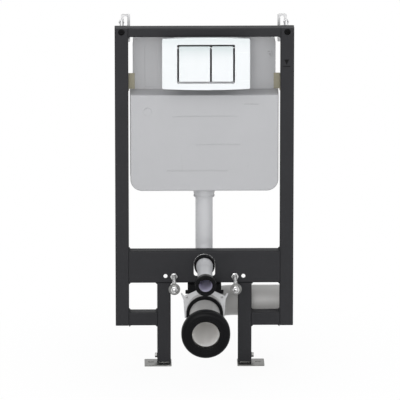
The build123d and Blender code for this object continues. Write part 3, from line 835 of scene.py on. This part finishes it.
makeFlushJoint(sleeve, collar)

# Painted highlight: a bright bare-metal strip along the top of the arch only, where the sheared edge catches
# the light
archEdgeHighlight = {
    "radius": 0.0311, "aboveStuds": 0.0357, "roll": 0.00055, "steps": 60, "from": 12, "to": 168, "arc": 8,
}


def makeArchEdge(p):
    centre = Vector((flushAxis.x, 0, middle("stud_left").z + p["aboveStuds"]))
    rows = []
    for i in range(p["steps"] + 1):
        angle = math.radians(p["from"] + (p["to"] - p["from"]) * i / p["steps"])
        out = right * math.cos(angle) + up * math.sin(angle)
        around = (2 * math.pi * k / p["arc"] for k in range(p["arc"]))
        rows.append([centre + out * (p["radius"] + p["roll"] * math.cos(a)) + back * p["roll"] * math.sin(a)
                     for a in around])
    addPiece("archEdgeHighlight", rows, False, True, {"body": "frame", "slot": "zinc", "material": brightSteel}, 60)


makeArchEdge(archEdgeHighlight)

# Dark caps on the wall rods' front ends, behind the corner holes; their black stands in for the shade inside
# the holes, as painted shade
cap = {
    "radius": 0.0088, "front": 0.0065, "deep": 0.0105, "bevel": 0.001, "taper": 0.002, "skirt": 0.004,
    "skirtWall": 0.001, "socket": 0.0035, "socketDeep": 0.004, "socketBevel": 0.0005, "rodR": 0.005,
    "gap": 0.0001, "rodGap": 0.0002, "segments": 36,
}


def makeRodCaps(p):
    for side in sides:
        centre = middle(f"wall_rod_{side}")
        rodEnd = span(f"wall_rod_{side}")[0].y
        start = Vector((centre.x, p["front"], centre.z))
        tail = rodEnd - p["front"] + p["skirt"]
        floor = rodEnd - p["front"] - p["rodGap"]
        profile = [(p["socketDeep"], p["gap"]), (p["socketDeep"], p["socket"]),
                   (p["socketBevel"], p["socket"]), (0, p["socket"] + p["socketBevel"]),
                   (0, p["radius"] - p["bevel"]), (p["bevel"], p["radius"]),
                   (p["deep"] - p["taper"], p["radius"]), (tail, p["rodR"] + p["skirtWall"]),
                   (tail, p["rodR"] + p["gap"]), (floor, p["rodR"] + p["gap"]), (floor, p["gap"])]
        turned(f"rodCap_{side}", start, back, profile, {"body": "frame", "slot": "black_plastic"},
               p["segments"])


makeRodCaps(cap)

# Knobs on the hanger's pins, and the rolled lips of the spare stud holes
knob = {
    "radius": 0.0060, "reach": 0.0565, "root": 0.0480, "y": -0.010, "z": 0.224, "pinR": 0.0044,
    "bevel": 0.0015, "tip": 0.0001, "segments": 32,
}


def makeHangerKnobs(p):
    for side, sign in sides.items():
        axis = right * sign
        start = Vector((midX + sign * p["root"], p["y"], p["z"]))
        deep = p["reach"] - p["root"]
        profile = [(0, p["pinR"]), (0, p["radius"]), (deep - p["bevel"], p["radius"]),
                   (deep, p["radius"] - p["bevel"]), (deep, p["tip"])]
        turned(f"hangerKnob_{side}", start, axis, profile, {"body": "frame", "slot": "black_plastic"},
               p["segments"], False)


makeHangerKnobs(knob)

holeLip = {
    "spacing": 0.230, "radius": 0.0065, "roll": 0.0007, "proud": 0.6, "inward": 0.9, "arc": 10,
    "segments": 36,
}


def makeHoleLips(p):
    studZ = middle("stud_left").z
    for side, sign in sides.items():
        start = Vector((midX + sign * p["spacing"] / 2, 0, studZ))
        turns = [math.pi * 2 * k / p["arc"] for k in range(p["arc"])]
        profile = [(p["roll"] * (p["proud"] - math.cos(a)),
                    p["radius"] - p["roll"] * p["inward"] * math.sin(a)) for a in turns]
        turned(f"spareLip_{side}", start, back, profile, {"body": "frame", "slot": "frame_paint"},
               p["segments"])


makeHoleLips(holeLip)

# Level mark on the right upright: an arrow over a line, printed dark
mark = {
    "drop": 0.110, "fromInside": 0.018, "half": 0.0070, "tall": 0.0160, "gap": 0.0035, "line": 0.0024,
    "lineHalf": 0.011, "thick": 0.00015,
}


def makeLevelMark(p):
    low, high = span("upright_right")
    x, z, y = low.x + p["fromInside"], high.z - p["drop"], low.y
    outlines = {
        "levelArrow": [(-p["half"], p["tall"]), (p["half"], p["tall"]), (0, 0)],
        "levelLine": [(-p["lineHalf"], -p["gap"] - p["line"]), (p["lineHalf"], -p["gap"] - p["line"]),
                      (p["lineHalf"], -p["gap"]), (-p["lineHalf"], -p["gap"])],
    }
    for name, outline in outlines.items():
        rows = [[Vector((x + dx, y - depth, z + dz)) for dx, dz in outline] for depth in (0.0, p["thick"])]
        addPiece(name, rows, False, True, {"body": "frame", "slot": "black_plastic"})


makeLevelMark(mark)
print("seam, lips, screws and mark added")


# Studio: a pale floor that keeps the shadow, a white world and four soft lamps
studio = {
    "floorHalf": 30.0,
    "floorColour": 0.82,
    "floorRough": 0.9,
    "floorSpecular": 0.1,
    "shadowShare": 0.06,             # how much of the floor's own shading the camera sees
    "fadeFrom": 0.3,                 # distances from the frame's middle
    "fadeTo": 0.8,
    "worldColour": (0.90, 0.92, 0.95),
    "worldStrength": 0.55,
    "lampAim": 0.5,                  # height
    "lamps": {
        "keyLamp": {"at": (-1.6, -3.2, 3.0), "size": 2.6, "power": 52.0},
        "fillLamp": {"at": (2.6, -2.6, 1.7), "size": 2.2, "power": 24.0},
        "frontLamp": {"at": (-0.3, -4.6, 1.5), "size": 1.4, "power": 62.0},
        "topLamp": {"at": (0.2, 0.6, 3.4), "size": 2.4, "power": 36.0},
    },
}


def paleRays(tree):                  # 1 for rays from the camera, a mirror or glass
    rays = tree.nodes.new("ShaderNodeLightPath")
    names = ("Is Camera Ray", "Is Glossy Ray", "Is Transmission Ray")
    camera, glossy, through = [Wire(tree, rays.outputs[name]) for name in names]
    return (camera + glossy + through).atMost(1.0)


def makeFloor(p):
    half = p["floorHalf"]
    mesh = bpy.data.meshes.new("studioFloor")
    corners = [(-half, -half, 0), (half, -half, 0), (half, half, 0), (-half, half, 0)]
    mesh.from_pydata(corners, [], [(0, 1, 2, 3)])
    floor = bpy.data.objects.new("studioFloor", mesh)
    bpy.context.scene.collection.objects.link(floor)
    f = Finish("floorPaint", {"Roughness": p["floorRough"], "Specular IOR Level": p["floorSpecular"]})
    f.shader.inputs["Base Color"].default_value = (p["floorColour"],) * 3 + (1,)
    where = f.node("ShaderNodeTexCoord", {}, {})["Object"]
    measure = {"operation": "DISTANCE"}
    centred = f.node("ShaderNodeVectorMath", measure, {0: where, 1: (midX, 0, 0)})["Value"]
    fade = ((centred - p["fadeFrom"]) / (p["fadeTo"] - p["fadeFrom"])).atLeast(0.0).atMost(1.0)
    share = (1 - fade) * p["shadowShare"]
    glow = f.node("ShaderNodeEmission", {}, {"Color": (1, 1, 1, 1), "Strength": 1.0})["Emission"]
    lit = Wire(f.tree, f.shader.outputs["BSDF"])
    seen = paleRays(f.tree) * (1 - share)
    mixed = f.node("ShaderNodeMixShader", {}, {0: seen, 1: lit, 2: glow})["Shader"]
    f.tree.links.new(mixed.socket, f.tree.nodes["Material Output"].inputs["Surface"])
    mesh.materials.append(f.material)


def makeWorld(p):
    world = bpy.data.worlds.new("studioWorld")
    bpy.context.scene.world = world
    world.use_nodes = True
    tree = world.node_tree
    output = tree.nodes["World Output"]
    soft = tree.nodes["Background"]
    soft.inputs["Color"].default_value = (*p["worldColour"], 1)
    soft.inputs["Strength"].default_value = p["worldStrength"]
    white = tree.nodes.new("ShaderNodeBackground")
    white.inputs["Color"].default_value = (1, 1, 1, 1)
    mix = tree.nodes.new("ShaderNodeMixShader")
    tree.links.new(paleRays(tree).socket, mix.inputs[0])
    tree.links.new(soft.outputs[0], mix.inputs[1])
    tree.links.new(white.outputs[0], mix.inputs[2])
    tree.links.new(mix.outputs[0], output.inputs["Surface"])


def makeLamps(p):
    aim = Vector((midX, 0, p["lampAim"]))
    for name, lamp in p["lamps"].items():
        data = bpy.data.lights.new(name, "AREA")
        data.size = lamp["size"]
        data.energy = lamp["power"]
        holder = bpy.data.objects.new(name, data)
        holder.location = Vector(lamp["at"]) + Vector((midX, 0, 0))
        holder.rotation_euler = (holder.location - aim).to_track_quat("Z", "Y").to_euler()
        bpy.context.scene.collection.objects.link(holder)


makeFloor(studio)
makeWorld(studio)
makeLamps(studio)
bpy.context.scene.view_settings.view_transform = "Standard"
print("studio lit")
